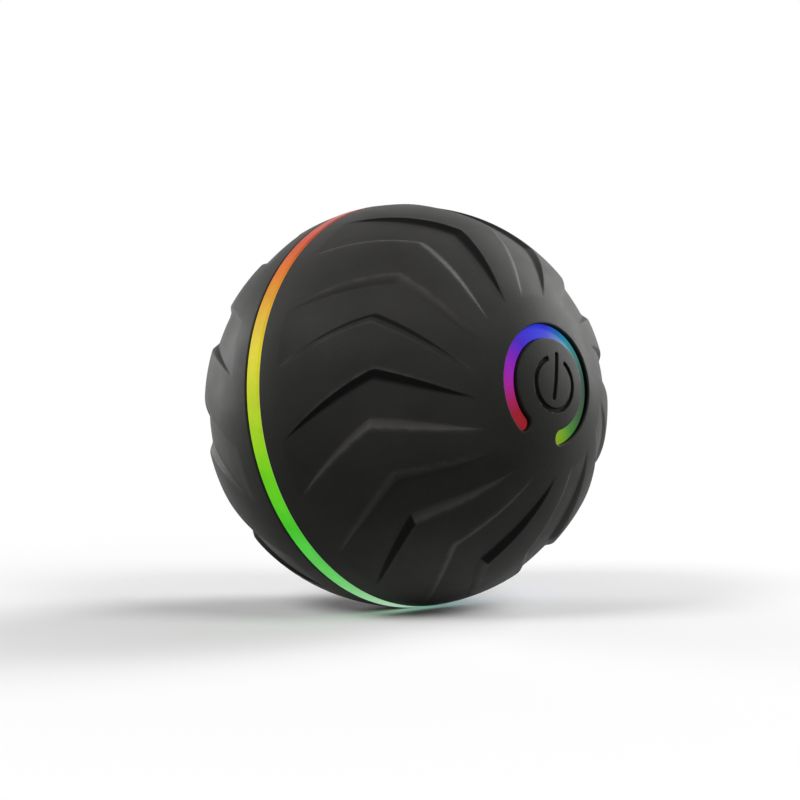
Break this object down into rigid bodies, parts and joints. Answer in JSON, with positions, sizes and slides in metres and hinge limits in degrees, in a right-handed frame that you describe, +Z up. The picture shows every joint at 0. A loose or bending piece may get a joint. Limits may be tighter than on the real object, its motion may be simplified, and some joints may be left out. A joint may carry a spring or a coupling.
{
  "type": "self-rolling dog ball",
  "caption": "Self-rolling pet ball: two chevron-tread rubber halves, a glowing seam ring, a power button, and a geared motor that swings a counterweight inside.",
  "frame": {"origin": "the ball's centre", "axes": "+Y along the rolling axis towards the charging port, with the power button at -Y; +Z up, with the counterweight hanging at -Z"},
  "size_m": [0.076, 0.076, 0.076],
  "materials": {
    "cover_rubber": "matte black silicone rubber with a fine grain",
    "button_rubber": "matte black silicone rubber, the same as the covers",
    "light_ring": "milky translucent polycarbonate, lit from inside in rainbow colours",
    "light_arc": "milky translucent light guide, lit from behind in rainbow colours",
    "cup_plastic": "dark grey moulded ABS",
    "chassis_plastic": "off-white moulded ABS",
    "gear_plastic": "white acetal",
    "pinion_brass": "turned brass",
    "bush_brass": "oiled sintered bronze",
    "weight_steel": "grey cast iron with a thin oil film",
    "bright_steel": "bright drawn steel",
    "zinc_screws": "bright zinc-plated steel",
    "clip_steel": "black phosphated spring steel",
    "motor_steel": "nickel-plated drawn steel can",
    "motor_cap_plastic": "white nylon end cap with tinned tags",
    "battery_wrap": "blue heat-shrunk film over the cell",
    "strap_plastic": "black nylon strap",
    "board_laminate": "green solder-masked glass laminate",
    "component_plastic": "black epoxy packages with tinned leads",
    "switch_plastic": "black switch housing",
    "plunger_plastic": "white switch plunger",
    "strip_film": "white flexible circuit film with LEDs",
    "lead_film": "amber flexible circuit film",
    "port_metal": "bright stamped steel shell",
    "plug_rubber": "matte black silicone rubber, softer than the covers"
  },
  "bodies": {
    "shell": {"tread_cover_button_side": "cover_rubber", "tread_cover_charging_side": "cover_rubber", "light_band": "light_ring", "inner_cup_button_side": "cup_plastic", "inner_cup_charging_side": "cup_plastic", "cup_screws": "zinc_screws", "button_light_arc": "light_arc", "switch_body": "switch_plastic", "main_circuit_board": "board_laminate", "board_components": "component_plastic", "board_screws": "zinc_screws", "band_led_strip": "strip_film", "flat_lead": "lead_film", "motor_plate": "chassis_plastic", "motor_plate_screws": "zinc_screws", "bearing_plate": "chassis_plastic", "plate_pillars": "bright_steel", "pillar_screws": "zinc_screws", "motor_side_bush": "bush_brass", "far_side_bush": "bush_brass", "gear_pins": "bright_steel", "motor_can": "motor_steel", "motor_end_cap": "motor_cap_plastic", "battery": "battery_wrap", "battery_strap": "strap_plastic", "charging_port": "port_metal", "charging_board": "board_laminate"},
    "pendulum": {"counterweight": "weight_steel", "weight_shaft": "bright_steel", "shaft_clips": "clip_steel", "output_gear": "gear_plastic"},
    "second_gear": {"second_compound_gear": "gear_plastic"},
    "first_gear": {"first_compound_gear": "gear_plastic"},
    "rotor": {"motor_shaft": "bright_steel", "motor_pinion": "pinion_brass"},
    "button": {"power_button": "button_rubber"},
    "plunger": {"switch_plunger": "plunger_plastic"},
    "stopper": {"charging_plug": "plug_rubber"}
  },
  "joints": [
    {"name": "counterweight_swing", "type": "hinge", "parent": "shell", "child": "pendulum", "pos_m": [0, 0, 0], "axis": [0, 1, 0], "continuous": true},
    {"name": "second_gear_spin", "type": "hinge", "parent": "shell", "child": "second_gear", "pos_m": [0, 0, 0.013], "axis": [0, 1, 0], "continuous": true},
    {"name": "first_gear_spin", "type": "hinge", "parent": "shell", "child": "first_gear", "pos_m": [0.01081, 0, 0.00907], "axis": [0, 1, 0], "continuous": true},
    {"name": "motor_spin", "type": "hinge", "parent": "shell", "child": "rotor", "pos_m": [0.0098, 0, -0.00239], "axis": [0, 1, 0], "continuous": true},
    {"name": "button_press", "type": "hinge", "parent": "shell", "child": "button", "pos_m": [-0.0033, -0.03365, -0.01039], "axis": [-0.9532, 0, 0.3024], "range_deg": [0, 2.1], "stiffness_Nm_per_rad": 0.35},
    {"name": "plunger_press", "type": "slide", "parent": "shell", "child": "plunger", "axis": [0, 1, 0], "range_m": [0, 0.00041]},
    {"name": "stopper_pull", "type": "slide", "parent": "shell", "child": "stopper", "axis": [0, 1, 0], "range_m": [0, 0.007]}
  ],
  "couplings": [
    {"joint": "second_gear_spin", "follows": "counterweight_swing", "ratio": -3.3333},
    {"joint": "first_gear_spin", "follows": "counterweight_swing", "ratio": 12},
    {"joint": "motor_spin", "follows": "counterweight_swing", "ratio": -43.2},
    {"joint": "plunger_press", "follows": "button_press", "m_per_rad": 0.0109}
  ]
}
